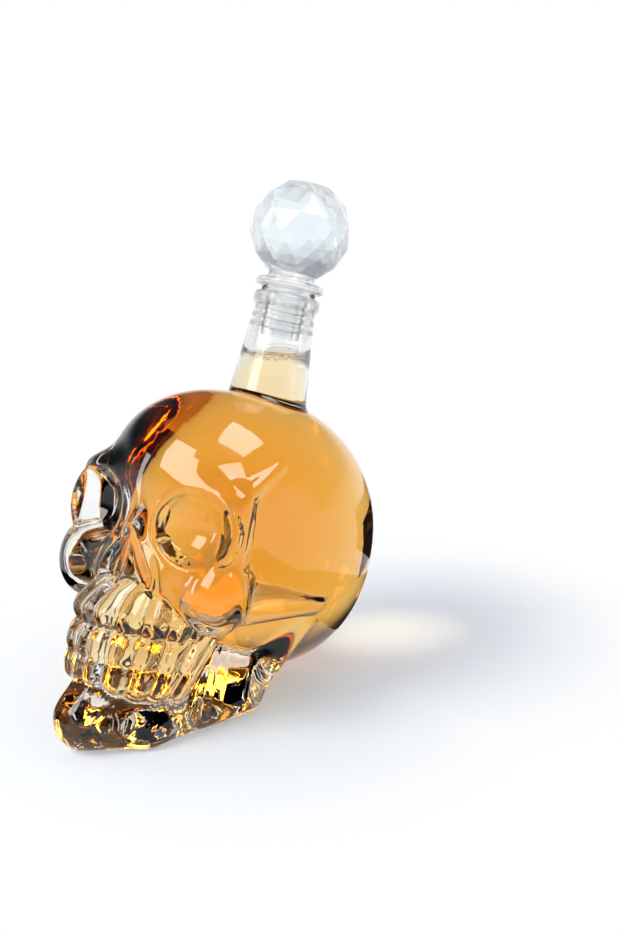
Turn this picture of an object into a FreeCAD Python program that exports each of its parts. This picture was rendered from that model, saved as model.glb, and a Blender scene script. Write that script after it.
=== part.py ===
import FreeCAD, Part
import Sketcher
import math
import os
from FreeCAD import Placement, Rotation, Vector

# A hollow glass skull that leans back on its jaw, with a neck, a fill of liquor and a ball stopper.
# Lengths are in millimetres. The skull is drawn in the neck's own frame: side to the skull's left,
# back away from the face, up along the neck, with its zero at the middle of the cranium.

# Rounded lobes of bone: middle, half sizes and how softly each blends into the rest
lobes = {
    "cranium": dict(side=0, back=1, up=0, half_side=53, half_back=62, half_up=57, blend=10),
    "occiput": dict(side=0, back=18, up=-16, half_side=43, half_back=41, half_up=43, blend=10),
    "forehead": dict(side=0, back=-28, up=20, half_side=43, half_back=36, half_up=35, blend=10),
    "brow": dict(side=26, back=-50, up=15, half_side=19, half_back=10, half_up=8, blend=8),
    "midface": dict(side=0, back=-41, up=-24, half_side=29, half_back=27, half_up=28, blend=8),
    "temple": dict(depth=3.5, back=-24, up=4, half_side=38, half_back=34, half_up=32, blend=4),
    "cheek": dict(side=36, back=-49, up=-23, half_side=15, half_back=12, half_up=17, blend=4),
    "cheek_plate": dict(side=22, back=-50, up=-16, half_side=13, half_back=11, half_up=18, blend=5),
    "orbit": dict(side=28, back=-69, up=-1, half_side=19.5, half_back=20, half_up=17.5, blend=2),
    "mouth": dict(side=0, back=-40, up=-50, half_side=26, half_back=32, half_up=31, blend=8),
    "jaw_block": dict(side=0, back=-46, up=-58, half_side=23, half_back=27, half_up=40, blend=6),
    "skull_base": dict(side=0, back=0, up=-58, half_side=22, half_back=26, half_up=24, blend=8),
    "jaw_gap": dict(side=48, back=-34, up=-52, half_side=14, half_back=22, half_up=12, blend=5),
}

# Round-ended limbs of bone: both ends, their thicknesses and the blend
limbs = {
    "brow_upright": dict(side=40.2, back=-51, up=13, to_side=41.5, to_back=-48.8, to_up=-12,
                         thick=5.4, to_thick=6.2, blend=2),
    "temple_ridge": dict(side=40, back=-47, up=17, to_side=39.6, to_back=-31, to_up=29.8,
                         thick=3.8, to_thick=3, blend=2),
    "cheek_arch": dict(side=41, back=-42, up=-27, to_side=47.8, to_back=-2, to_up=-21,
                       thick=7.5, to_thick=5, blend=2),
    "nose_bridge": dict(side=0, back=-56, up=8, to_side=0, to_back=-63, to_up=-6,
                        thick=6, to_thick=5, blend=3),
    "nostril": dict(side=0, back=-70, up=-9, to_side=8, to_back=-71, to_up=-24,
                    thick=5.5, to_thick=9, blend=2),
    "septum": dict(side=0, back=-58, up=-8, to_side=0, to_back=-64, to_up=-32,
                   thick=1.5, to_thick=2.5, blend=2),
    "chin": dict(side=0, back=-69, up=-82, to_side=14, to_back=-51, to_up=-82,
                 thick=13.5, to_thick=9.5, blend=6),
    "jaw": dict(side=14, back=-51, up=-82, to_side=27, to_back=-8, to_up=-67,
                thick=9.5, to_thick=7, blend=6),
    "jaw_branch": dict(side=30, back=-8, up=-62, to_side=41, to_back=0, to_up=-30,
                       thick=5, to_thick=6, blend=4),
}

# Raised beads round a hollow: middle, half width and height of the ring, thickness and blend
beads = {
    "orbit_bead": dict(side=27.4, back=-58.4, up=0.2, half_side=18.4, half_up=16.2, thick=1.9, blend=2),
}

# The order in which the bones are built up and hollowed
bone_order = (
    ("add", "cranium"), ("add", "occiput"), ("add", "forehead"), ("add", "brow"), ("add", "midface"),
    ("cut", "temple"), ("add", "cheek"), ("add", "cheek_plate"), ("add", "temple_ridge"),
    ("add", "brow_upright"), ("add", "cheek_arch"), ("cut", "orbit"), ("add", "orbit_bead"),
    ("add", "nose_bridge"), ("cut", "nostril"), ("add", "septum"), ("add", "jaw_block"),
    ("add", "skull_base"), ("add", "chin"), ("add", "jaw"), ("add", "jaw_branch"), ("cut", "jaw_gap"),
)

# The bones that the liquor's chamber follows; the chin and the jaw's branches are thick glass
hollow_bones = ("cranium", "occiput", "forehead", "brow", "midface", "cheek", "cheek_plate", "mouth")

# Rows of teeth and roots on the arch: heights of the two ends, arch size, thicknesses
tooth_rows = {
    "upper_tooth": dict(up=-34, to_up=-39.5, half_wide=20.3, to_half_wide=22, half_deep=21.3, to_half_deep=23,
                        back=-47, to_back=-48, thick=5.6, to_thick=7),
    "lower_tooth": dict(up=-51, to_up=-53, half_wide=22, to_half_wide=22, half_deep=23, to_half_deep=23,
                        back=-48.5, to_back=-49, thick=6.8, to_thick=6.4),
    "lower_root": dict(up=-61, to_up=-64, half_wide=22, to_half_wide=21.5, half_deep=23, to_half_deep=22.5,
                       back=-49, to_back=-49.5, thick=5.8, to_thick=5.4),
}

# Single sizes of the bottle, the fill and the stopper
single_sizes = {
    "cranium_rise": 69,
    "cranium_setback": 20.86,
    "tooth_blend": 1.2,
    "wall": 4.5,
    "chamber_blend": 6,
    "fill_clearance": 0.45,
    "base_width": 200,
    "base_depth": 60,
    "neck_low_radius": 16.8,
    "neck_low_up": 57.5,
    "neck_flare": 1.5,
    "neck_flare_height": 5,
    "neck_root_depth": 12.5,
    "neck_fillet": 3,
    "neck_top_radius": 13,
    "lip_top_up": 101.5,
    "lip_height": 4.8,
    "lip_overhang": 1.5,
    "lip_flare": 1.2,
    "lip_rounding": 1.9,
    "bore_radius": 9.5,
    "bore_straight_depth": 23.5,
    "bore_taper_length": 20,
    "bore_low_radius": 12.2,
    "bore_low_up": 25,
    "cut_overrun": 2,
    "fill_headroom": 5,
    "level_box_width": 60,
    "level_box_height": 40,
    "sleeve_depth": 19,
    "sleeve_wall": 1.85,
    "fin_reach": 1.1,
    "fin_clearance": 0.08,
    "fin_root_overlap": 0.5,
    "fin_height": 2.2,
    "fin_start": 3,
    "fin_run": 11.4,
    "collar_overhang": 3.2,
    "collar_height": 1.9,
    "collar_rounding": 0.6,
    "seat_gap": 0.1,
    "peg_clearance": 0.05,
    "peg_recess": 1.5,
    "peg_rounding": 1,
    "flange_radius": 14.7,
    "flange_height": 3.6,
    "flange_rounding": 1.4,
    "foot_top_radius": 9.9,
    "foot_taper": 1,
    "foot_height": 3.3,
    "foot_fillet": 0.8,
    "ball_radius": 21.9,
    "cast_start": 135,
    "cast_stride": 6,
    "cast_close": 0.0002,
}

# Angles in degrees, counts and shares
lean_angle = 17.8
tooth_pitch_angle = 22
tooth_count = 5
first_tooth_share = 0.5
skin_row_angles, skin_row_counts = (60, 96, 140, 164, 180), (6, 10, 20, 6, 3)
skin_column_angles, skin_column_counts = (52, 90, 180), (23, 8, 7)
chamber_row_angles, chamber_row_counts = (70, 150, 180), (7, 14, 3)
chamber_column_angles, chamber_column_counts = (80, 180), (9, 6)
degree_count = 3
sharpen_count = 4
tile_column_count, tile_row_count = 14, 10
cast_count = 70
march_share = 0.85
least_slope_share = 1e-9
draft_share = 2.2
bead_slope_share = 0.17
fin_count = 4
ball_side_count, ball_row_count = 10, 6
ball_top_angle, ball_flat_angle = 64, 60

document = FreeCAD.newDocument("decanter")
sheet = document.addObject("Spreadsheet::Sheet", "sizes")


def fill_sheet():
    rows = dict(single_sizes)
    for table in (lobes, limbs, beads, tooth_rows):
        for bone, entries in table.items():
            for key, value in entries.items():
                rows[bone + "_" + key] = value
    for number, (name, value) in enumerate(rows.items(), 1):
        sheet.set("A" + str(number), name)
        sheet.set("B" + str(number), str(value))
        sheet.setAlias("B" + str(number), name)
    document.recompute()


def size(name):
    return float(sheet.get(name))


def sizes_of(bone, keys):
    return tuple(size(bone + "_" + key) for key in keys)


fill_sheet()
tilt = Placement(Vector(0, size("cranium_setback"), size("cranium_rise")),
                 Rotation(Vector(1, 0, 0), -lean_angle))


# Skull formula: signed gaps from a point to each bone, blended in order
def lobe_gap(point, lobe):
    side, back, up, half_side, half_back, half_up = lobe
    a, b, c = (point[0] - side) / half_side, (point[1] - back) / half_back, (point[2] - up) / half_up
    reach = math.sqrt(a * a + b * b + c * c)
    slope = math.sqrt((a / half_side) ** 2 + (b / half_back) ** 2 + (c / half_up) ** 2)
    return reach * (reach - 1) / max(slope, least_slope_share)


def limb_gap(point, limb):
    side, back, up, run_side, run_back, run_up, thick, thicker = limb
    a, b, c = point[0] - side, point[1] - back, point[2] - up
    length = run_side * run_side + run_back * run_back + run_up * run_up
    along = min(max((a * run_side + b * run_back + c * run_up) / length, 0), 1)
    a, b, c = a - along * run_side, b - along * run_back, c - along * run_up
    return math.sqrt(a * a + b * b + c * c) - thick - along * thicker


def bead_gap(point, bead):
    side, back, up, half_side, half_up, thick = bead
    a, b, c = point[0] - side, point[1] - back, point[2] - up
    off_ring = (math.hypot(a / half_side, c / half_up) - 1) * (half_side + half_up) / 2
    return math.hypot(off_ring, b - bead_slope_share * a) - thick


def joined(one, other, blend):
    share = max(blend - abs(one - other), 0) / blend
    return min(one, other) - share * share * blend / 4


# A hollow's side may be given by its depth in the cranium's side
def lobe_side(bone):
    if "side" in lobes[bone]:
        return size(bone + "_side")
    return size("cranium_half_side") + size(bone + "_half_side") - size(bone + "_depth")


def bone_step(action, bone):
    if bone in lobes:
        lobe = sizes_of(bone, ("back", "up", "half_side", "half_back", "half_up"))
        return action, lobe_gap, (lobe_side(bone),) + lobe, size(bone + "_blend")
    if bone in beads:
        bead = sizes_of(bone, ("side", "back", "up", "half_side", "half_up", "thick"))
        return action, bead_gap, bead, size(bone + "_blend")
    side, back, up, to_side, to_back, to_up, thick, to_thick = sizes_of(
        bone, ("side", "back", "up", "to_side", "to_back", "to_up", "thick", "to_thick"))
    limb = (side, back, up, to_side - side, to_back - back, to_up - up, thick, to_thick - thick)
    return action, limb_gap, limb, size(bone + "_blend")


def tooth_steps(row):
    up, to_up, wide, to_wide, deep, to_deep, back, to_back, thick, to_thick = sizes_of(
        row, ("up", "to_up", "half_wide", "to_half_wide", "half_deep", "to_half_deep",
              "back", "to_back", "thick", "to_thick"))
    steps = []
    for number in range(tooth_count):
        turn = math.radians((number + first_tooth_share) * tooth_pitch_angle)
        side, behind = wide * math.sin(turn), back - deep * math.cos(turn)
        to_side, to_behind = to_wide * math.sin(turn), to_back - to_deep * math.cos(turn)
        limb = (side, behind, up, to_side - side, to_behind - behind, to_up - up, thick, to_thick - thick)
        steps.append(("add", limb_gap, limb, size("tooth_blend")))
    return steps


outside_steps = [bone_step(action, bone) for action, bone in bone_order]
teeth_steps = [step for row in tooth_rows for step in tooth_steps(row)]
hollow_steps = [bone_step("add", bone) for bone in hollow_bones]
teeth_top = max(size(row + "_up") + size(row + "_thick") for row in tooth_rows) + size("cast_stride")
teeth_bottom = min(size(row + "_to_up") - size(row + "_to_thick") for row in tooth_rows) - size("cast_stride")
wall, chamber_blend = size("wall"), size("chamber_blend")


def gap_to(point, steps):
    gap = None
    for action, measure, bone, blend in steps:
        here = measure(point, bone)
        if gap is None:
            gap = here
        elif action == "add":
            gap = joined(gap, here, blend)
        else:
            gap = -joined(-gap, here, blend)
    return gap


def outside_gap(side, back, up):
    point = (abs(side), back, up)
    gap = gap_to(point, outside_steps)
    if teeth_bottom < up < teeth_top:
        for action, measure, tooth, blend in teeth_steps:
            gap = joined(gap, measure(point, tooth), blend)
    return gap


def chamber_gap(side, back, up):
    hollow = gap_to((abs(side), back, up), hollow_steps)
    solid = gap_to((abs(side), back, up), outside_steps)
    return wall - joined(-hollow, -solid, chamber_blend)


def cast(gap, side, back, up, start, stride, close):
    reach = start
    for step in range(cast_count):
        here = gap(side * reach, back * reach, up * reach)
        reach = reach - min(here * march_share, stride)
        if abs(here) < close:
            break
    return reach


# Skins: nets of points cast outward from the cranium's middle, closed round the neck's axis
def zoned_angles(ends, counts):
    angles = [0]
    for end, count in zip(ends, counts):
        start = angles[-1]
        angles += [start + (end - start) * (number + 1) / count for number in range(count)]
    return angles


def skull_net(gap, polar_angles, half_turns):
    start, stride, close = size("cast_start"), size("cast_stride"), size("cast_close")
    rays = []
    for polar in polar_angles:
        lift, level = math.cos(math.radians(polar)), math.sin(math.radians(polar))
        rays.append([Vector(level * math.sin(math.radians(turn)), -level * math.cos(math.radians(turn)), lift)
                     for turn in half_turns])
    reaches = [[cast(gap, ray.x, ray.y, ray.z, start, stride, close) for ray in row] for row in rays]
    drafted(rays, reaches)
    net = []
    for row, row_reaches in zip(rays, reaches):
        half = [ray * reach for ray, reach in zip(row, row_reaches)]
        mirrored = [Vector(-point.x, point.y, point.z) for point in half[1:-1]]
        net.append(list(reversed(half)) + mirrored)
    return net


# Moulded glass has draft: no wall is steeper than the draft share, seen from the middle
def drafted(rays, reaches):
    rows, columns = range(len(rays)), range(len(rays[0]))
    runs = [[(row, column) for row in rows] for column in columns]
    runs += [[(row, column) for column in columns] for row in rows]
    for run in runs + [list(reversed(run)) for run in runs]:
        for (row, column), (next_row, next_column) in zip(run, run[1:]):
            spread = (rays[row][column] - rays[next_row][next_column]).Length
            least = reaches[row][column] * (1 - draft_share * spread)
            reaches[next_row][next_column] = max(reaches[next_row][next_column], least)


# A cubic skin runs inside its poles, so they are moved out until it passes through the net
def poles_through(points, closed):
    poles = list(points)
    inner = range(len(poles)) if closed else range(1, len(poles) - 1)
    for step in range(sharpen_count):
        before = list(poles)
        for place in inner:
            following = before[(place + 1) % len(before)]
            poles[place] = points[place] + (before[place] * 2 - before[place - 1] - following) / 6
    return poles


# A skin is laid in tiles, so that plain areas stay simple beside detailed ones
def tile_bounds(spans, count):
    bounds = [round(spans * number / count) for number in range(count + 1)]
    return list(zip(bounds, bounds[1:]))


def closed_skin(net):
    columns = [poles_through(column, False) for column in zip(*net)]
    rows = [poles_through(row, True) for row in zip(*columns)]
    columns = [list(column) for column in zip(*rows)]
    around, along = len(columns), len(rows)
    skin = Part.BSplineSurface()
    spans = along - degree_count
    end_knot = [degree_count + 1]
    skin.buildFromPolesMultsKnots(columns, [1] * (around + 1), end_knot + [1] * (spans - 1) + end_knot,
                                  list(range(around + 1)), list(range(spans + 1)), True, False,
                                  degree_count, degree_count)
    tiles = []
    for start, end in tile_bounds(around, tile_column_count):
        for low, high in tile_bounds(spans, tile_row_count):
            tile = skin.copy()
            tile.segment(start, end, low, high)
            tiles.append(tile.toShape())
    shell = Part.makeShell(tiles)
    shell.sewShape()
    solid = Part.Solid(shell)
    if solid.Volume < 0:
        solid.reverse()
    return solid


def skin_object(name, solid):
    holder = document.addObject("Part::Feature", name)
    holder.Shape = solid
    holder.Placement = tilt
    return holder


def pulled_in(net, clearance):
    return [[point * (1 - clearance / point.Length) for point in row] for row in net]


outside_net = skull_net(outside_gap, zoned_angles(skin_row_angles, skin_row_counts),
                        zoned_angles(skin_column_angles, skin_column_counts))
chamber_net = skull_net(chamber_gap, zoned_angles(chamber_row_angles, chamber_row_counts),
                        zoned_angles(chamber_column_angles, chamber_column_counts))
skull_skin = skin_object("skull_skin", closed_skin(outside_net))
chamber_skin = skin_object("chamber_skin", closed_skin(chamber_net))
fill_skin = skin_object("fill_skin", closed_skin(pulled_in(chamber_net, size("fill_clearance"))))


# Turned bodies: a profile of (radius, height) corners, each bound to the sheet
def value_of(formula):
    return 0.0 if formula is None else float(sheet_value(formula))


def sheet_value(formula):
    total, sign = 0.0, 1
    for word in formula.split():
        if word in "+-":
            sign = 1 if word == "+" else -1
        else:
            total += sign * size(word)
    return total


def bind(sketch, kind, number, formula):
    place = sketch.addConstraint(Sketcher.Constraint(kind, -1, 1, number, 1, sheet_value(formula)))
    bound = " ".join(word if word in "+-" else "sizes." + word for word in formula.split())
    sketch.setExpression("Constraints[" + str(place) + "]", bound)


def turned_sketch(body, name, corners):
    plane = [item for item in body.Origin.OriginFeatures if item.Role == "XZ_Plane"][0]
    sketch = body.newObject("Sketcher::SketchObject", name)
    sketch.AttachmentSupport = (plane, [""])
    sketch.MapMode = "FlatFace"
    places = [(value_of(radius), value_of(height)) for radius, height in corners]
    for number, start in enumerate(places):
        end = places[(number + 1) % len(places)]
        sketch.addGeometry(Part.LineSegment(Vector(*start, 0), Vector(*end, 0)), False)
    for number, (radius, height) in enumerate(corners):
        following = (number + 1) % len(corners)
        sketch.addConstraint(Sketcher.Constraint("Coincident", number, 2, following, 1))
        if radius is None:
            sketch.addConstraint(Sketcher.Constraint("PointOnObject", number, 1, -2))
        else:
            bind(sketch, "DistanceX", number, radius)
        bind(sketch, "DistanceY", number, height)
    return sketch


def turn(body, name, sketch):
    turned = body.newObject("PartDesign::Revolution", name)
    turned.Profile = sketch
    turned.ReferenceAxis = (sketch, ["V_Axis"])
    turned.Angle = 360
    sketch.Visibility = False
    document.recompute()
    return turned


def turned_body(label, corners):
    body = document.addObject("PartDesign::Body", label)
    body.Label = label
    body.Placement = tilt
    turn(body, label + "_turned", turned_sketch(body, label + "_profile", corners))
    return body


def round_edges(body, name, rounding, corners):
    base = body.Tip
    wanted = [(sheet_value(radius), sheet_value(height)) for radius, height in corners]
    edges = []
    for number, edge in enumerate(base.Shape.Edges, 1):
        if not isinstance(edge.Curve, Part.Circle):
            continue
        if any(math.isclose(edge.Curve.Radius, radius, rel_tol=1e-6)
               and math.isclose(edge.Curve.Center.z, height, rel_tol=1e-6) for radius, height in wanted):
            edges.append("Edge" + str(number))
    rounded = body.newObject("PartDesign::Fillet", name)
    rounded.Base = (base, edges)
    rounded.setExpression("Radius", "sizes." + rounding)
    document.recompute()


# Heights and radii that follow from the lip's height and the bore
neck_flare_up = "neck_low_up - neck_flare_height"
neck_root_up = neck_flare_up + " - neck_root_depth"
neck_root_radius = "neck_low_radius + neck_flare"
lip_low_up = "lip_top_up - lip_height"
lip_radius = "neck_top_radius + lip_overhang"
taper_top_up = "lip_top_up - bore_straight_depth"
taper_low_up = taper_top_up + " - bore_taper_length"
sleeve_bottom_up = "lip_top_up - sleeve_depth"
sleeve_radius = "bore_radius - fin_reach"
hole_radius = sleeve_radius + " - sleeve_wall"
peg_radius = hole_radius + " - peg_clearance"
collar_radius = sleeve_radius + " + collar_overhang"
collar_foot = "lip_top_up + seat_gap"
collar_top = collar_foot + " + collar_height"
fin_foot = sleeve_bottom_up + " + fin_start"
fin_root = sleeve_radius + " - fin_root_overlap"
peg_bottom_up = sleeve_bottom_up + " + peg_recess"
flange_foot = collar_top + " + seat_gap"
flange_top = flange_foot + " + flange_height"
foot_top = flange_top + " + foot_height"
foot_low_radius = "foot_top_radius + foot_taper"

# Neck, its bore and the column of liquor in it
neck = turned_body("neck", [
    (None, neck_root_up), (neck_root_radius, neck_root_up), (neck_root_radius, neck_flare_up),
    ("neck_low_radius", "neck_low_up"), ("neck_top_radius", lip_low_up + " - lip_flare"),
    (lip_radius, lip_low_up), (lip_radius, "lip_top_up"), (None, "lip_top_up")])
round_edges(neck, "neck_flare", "neck_fillet", [("neck_low_radius", "neck_low_up")])
round_edges(neck, "lip_round", "lip_rounding", [(lip_radius, lip_low_up), (lip_radius, "lip_top_up")])

bore = turned_body("bore", [
    (None, "bore_low_up"), ("bore_low_radius", "bore_low_up"), ("bore_low_radius", taper_low_up),
    ("bore_radius", taper_top_up), ("bore_radius", "lip_top_up + cut_overrun"),
    (None, "lip_top_up + cut_overrun")])

fill_column = turned_body("fill_column", [
    (None, "bore_low_up"), ("bore_low_radius - fill_clearance", "bore_low_up"),
    ("bore_low_radius - fill_clearance", taper_low_up), ("bore_radius - fill_clearance", taper_top_up),
    ("bore_radius - fill_clearance", "lip_top_up"), (None, "lip_top_up")])


# Boolean steps: bottle from skin, neck and chamber; liquor from the fill and its level
def boolean(kind, label, first, second):
    result = document.addObject("Part::" + kind, label)
    result.Label = label
    result.Base = first
    result.Tool = second
    document.recompute()
    return result


def bound_box(label, width, depth, height, centre_back, bottom):
    box = document.addObject("Part::Box", label)
    for name, formula in (("Length", width), ("Width", depth), ("Height", height)):
        box.setExpression(name, formula)
    box.setExpression("Placement.Base.x", "-(" + width + ") / 2")
    box.setExpression("Placement.Base.y", centre_back + " - (" + depth + ") / 2")
    box.setExpression("Placement.Base.z", bottom)
    document.recompute()
    return box


under = bound_box("under", "sizes.base_width", "sizes.base_width", "sizes.base_depth", "0",
                  "-sizes.base_depth")
level_up = "(sizes.lip_top_up - sizes.sleeve_depth - sizes.fill_headroom)"
level_rise = "sizes.cranium_rise + " + level_up + " * cos(" + str(lean_angle) + " deg)"
level_back = "sizes.cranium_setback + " + level_up + " * sin(" + str(lean_angle) + " deg)"
above = bound_box("above", "sizes.level_box_width", "sizes.level_box_width", "sizes.level_box_height",
                  level_back, level_rise)

outer_glass = boolean("Fuse", "outer_glass", skull_skin, neck)
standing_glass = boolean("Cut", "standing_glass", outer_glass, under)
inner_space = boolean("Fuse", "inner_space", chamber_skin, bore)
skull_bottle = boolean("Cut", "skull_bottle", standing_glass, inner_space)
full_fill = boolean("Fuse", "full_fill", fill_skin, fill_column)
liquor = boolean("Cut", "liquor", full_fill, above)

# Sealing sleeve: a collared tube with a row of soft fins
sleeve = turned_body("sealing_sleeve", [
    (hole_radius, sleeve_bottom_up), (sleeve_radius, sleeve_bottom_up), (sleeve_radius, collar_foot),
    (collar_radius, collar_foot), (collar_radius, collar_top), (hole_radius, collar_top)])
round_edges(sleeve, "collar_round", "collar_rounding", [
    (collar_radius, collar_foot), (collar_radius, collar_top)])
fin_sketch = turned_sketch(sleeve, "fin_profile", [
    (fin_root, fin_foot), ("bore_radius - fin_clearance", fin_foot + " + fin_height"),
    (fin_root, fin_foot + " + fin_height")])
fin = turn(sleeve, "fin", fin_sketch)
fins = sleeve.newObject("PartDesign::LinearPattern", "fins")
fins.Originals = [fin]
fins.Direction = (fin_sketch, ["V_Axis"])
fins.setExpression("Length", "sizes.fin_run")
fins.Occurrences = fin_count
sleeve.Tip = fins
document.recompute()

# Stopper stem: peg, flange ring and foot
stem = turned_body("stopper_stem", [
    (None, peg_bottom_up), (peg_radius, peg_bottom_up), (peg_radius, flange_foot),
    ("flange_radius", flange_foot), ("flange_radius", flange_top), (foot_low_radius, flange_top),
    ("foot_top_radius", foot_top), (None, foot_top)])
round_edges(stem, "peg_round", "peg_rounding", [(peg_radius, peg_bottom_up)])
round_edges(stem, "flange_round", "flange_rounding", [
    ("flange_radius", flange_foot), ("flange_radius", flange_top)])
round_edges(stem, "foot_round", "foot_fillet", [(foot_low_radius, flange_top)])


# Cut ball: staggered rings of facets on a sphere, with a table on top and a ground flat below
def facet(points):
    return Part.Face(Part.makePolygon(points + points[:1]))


def cut_ball():
    radius = size("ball_radius")
    flat_up = sheet_value(foot_top)
    middle = flat_up + radius * math.sin(math.radians(ball_flat_angle))
    rings = []
    for row in range(ball_row_count):
        rise = -ball_flat_angle + (ball_top_angle + ball_flat_angle) * row / (ball_row_count - 1)
        level = radius * math.cos(math.radians(rise))
        height = middle + radius * math.sin(math.radians(rise))
        turns = [math.tau * (side + row % 2 / 2) / ball_side_count for side in range(ball_side_count)]
        rings.append([Vector(level * math.cos(turn), level * math.sin(turn), height) for turn in turns])
    faces = [facet(rings[0]), facet(rings[-1])]
    for row, (low, high) in enumerate(zip(rings, rings[1:])):
        shift = row % 2
        for side in range(ball_side_count):
            after = (side + 1) % ball_side_count
            faces.append(facet([low[side], low[after], high[(side + shift) % ball_side_count]]))
            faces.append(facet([high[side], high[after], low[(side + 1 - shift) % ball_side_count]]))
    solid = Part.Solid(Part.Shell(faces))
    if solid.Volume < 0:
        solid.reverse()
    return solid


crystal_ball = skin_object("crystal_ball", cut_ball())
crystal_ball.Label = "crystal_ball"

# Check every object, then write the sub-parts
document.recompute()
for item in document.Objects:
    if "Invalid" in item.State or "Error" in item.State:
        raise RuntimeError(item.Name + " did not build: " + str(item.State))
os.makedirs("parts", exist_ok=True)
for piece in (skull_bottle, liquor, sleeve, stem, crystal_ball):
    if piece.Shape.isNull() or not piece.Shape.isValid():
        raise RuntimeError(piece.Label + " has no valid shape")
    piece.Shape.exportStep("parts/" + piece.Label + ".step")
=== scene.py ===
import math
import bpy
import numpy as np
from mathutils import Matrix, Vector


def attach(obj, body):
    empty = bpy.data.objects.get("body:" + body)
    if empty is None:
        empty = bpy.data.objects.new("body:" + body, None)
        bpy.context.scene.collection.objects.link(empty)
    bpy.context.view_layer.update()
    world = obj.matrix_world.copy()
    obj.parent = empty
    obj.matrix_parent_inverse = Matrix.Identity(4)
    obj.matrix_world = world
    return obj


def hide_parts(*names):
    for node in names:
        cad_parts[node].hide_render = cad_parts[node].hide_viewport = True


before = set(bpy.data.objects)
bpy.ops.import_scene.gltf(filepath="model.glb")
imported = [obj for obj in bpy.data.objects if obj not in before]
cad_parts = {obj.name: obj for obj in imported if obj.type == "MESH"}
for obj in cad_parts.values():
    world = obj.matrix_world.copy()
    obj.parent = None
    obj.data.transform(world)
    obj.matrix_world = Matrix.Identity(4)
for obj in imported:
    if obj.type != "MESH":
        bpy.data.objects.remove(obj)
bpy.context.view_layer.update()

# Shapes are worked out in millimetres in the neck's frame: side, back, up from the cranium's middle
lean = math.radians(17.8)
cranium_middle = np.array((0, 20.86, 69))

# Nets of points: the angle of the first line, and each zone's last angle and count of lines
columns_half = ((30, 42), (60, 46), (96, 34), (180, 54))
face_first, face_rows = 20, ((60, 30), (96, 46), (142, 74), (164, 20), (180, 8))
chamber_first, chamber_rows = 16, ((60, 12), (150, 42), (180, 7))

# Rounded lobes of bone: middle, half sizes, blend
lobes = {
    "cranium": ((0, 1, 0), (53, 62, 57), 10),
    "occiput": ((0, 18, -16), (43, 41, 43), 10),
    "forehead": ((0, -28, 20), (43, 36, 35), 10),
    "brow": ((26, -50, 15), (19, 10, 8), 8),
    "midface": ((0, -41, -24), (29, 27, 28), 8),
    "temple": ((87.5, -24, 4), (38, 34, 32), 4),
    "temple_floor": ((28, -34, 2), (15.5, 20, 22), 6),
    "cheek": ((36, -49, -23), (15, 12, 17), 2.5),
    "cheek_plate": ((22, -50, -16), (13, 11, 18), 4),
    "orbit": ((28, -69, -1), (19.5, 20, 17.5), 1.4),
    "mouth": ((0, -40, -50), (26, 32, 31), 8),
    "jaw_block": ((0, -46, -58), (23, 27, 40), 6),
    "skull_base": ((0, 0, -58), (22, 26, 24), 8),
    "jaw_gap": ((48, -34, -52), (14, 22, 12), 5),
}

# Round-ended limbs of bone: both ends, both thicknesses, blend
limbs = {
    "brow_upright": ((39.4, -50.2, 13), (40.4, -48.4, -12), 6.6, 7.2, 1),
    "temple_ridge": ((40, -47, 17), (39.6, -31, 29.8), 3.8, 3, 1.5),
    "cheek_arch": ((41, -42, -26.5), (46.8, -2, -21), 8.3, 6.2, 1),
    "nose_bridge": ((0, -56, 8), (0, -63, -6), 6, 5, 3),
    "nostril": ((0, -70, -9), (8, -71, -24), 5.5, 9, 1.2),
    "septum": ((0, -58, -8), (0, -64, -32), 1.5, 2.5, 2),
    "chin": ((0, -69, -82), (14, -51, -82), 13.5, 9.5, 6),
    "jaw": ((14, -51, -82), (27, -8, -67), 9.5, 7, 6),
    "jaw_branch": ((30, -8, -62), (41, 0, -30), 5, 6, 4),
}

# Raised beads round a hollow: middle, half width and height, how far the far side lies back, thickness, blend
beads = {"orbit_bead": ((27.4, -58.4, 0.2), (18.4, 16.2), 0.17, 1.9, 1.0)}

# Sharp-edged limbs: the way that the cut face looks and a point on it
trims = {
    "brow_upright": ((0.8, 0.6, 0), (46.4, -47.3, 0)),
    "cheek_arch": ((0.55, 0, 0.835), (48.5, -24, -18)),
}
trim_blend = 0.6

# The order in which bones are added and hollows cut
bone_order = (
    "+cranium", "+occiput", "+forehead", "+brow", "+midface", "-temple", "+temple_floor", "+cheek",
    "+cheek_plate", "+temple_ridge", "+brow_upright", "+cheek_arch", "-orbit", "+orbit_bead",
    "+nose_bridge", "-nostril", "+septum", "+jaw_block", "+skull_base", "+chin", "+jaw", "+jaw_branch",
    "-jaw_gap",
)
hollow_bones = ("+cranium", "+occiput", "+forehead", "+brow", "+midface", "+cheek", "+cheek_plate", "+mouth")

# Rows of teeth: up, arch half width and depth, back and thickness at the two ends of each tooth
tooth_rows = (
    ((-34, 20.3, 21.3, -47, 5.6), (-39.5, 22, 23, -48, 7)),
    ((-51, 22, 23, -48.5, 6.8), (-53, 22, 23, -49, 6.4)),
    ((-61, 22, 23, -49, 5.8), (-64, 21.5, 22.5, -49.5, 5.4)),
)
teeth_per_side, tooth_pitch, tooth_blend = 5, math.radians(22), 1.2
teeth_low_up, teeth_top_up, teeth_back = -80, -15, -10

# Walls, and what the mould did to the glass: steepest slopes and rounds of softening
wall, chamber_blend, base_blend, inside_cad = 4.5, 6, 2.5, 0.05
face_draft, face_soften, chamber_draft, chamber_soften = 4, 1, 2.4, 2

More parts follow.
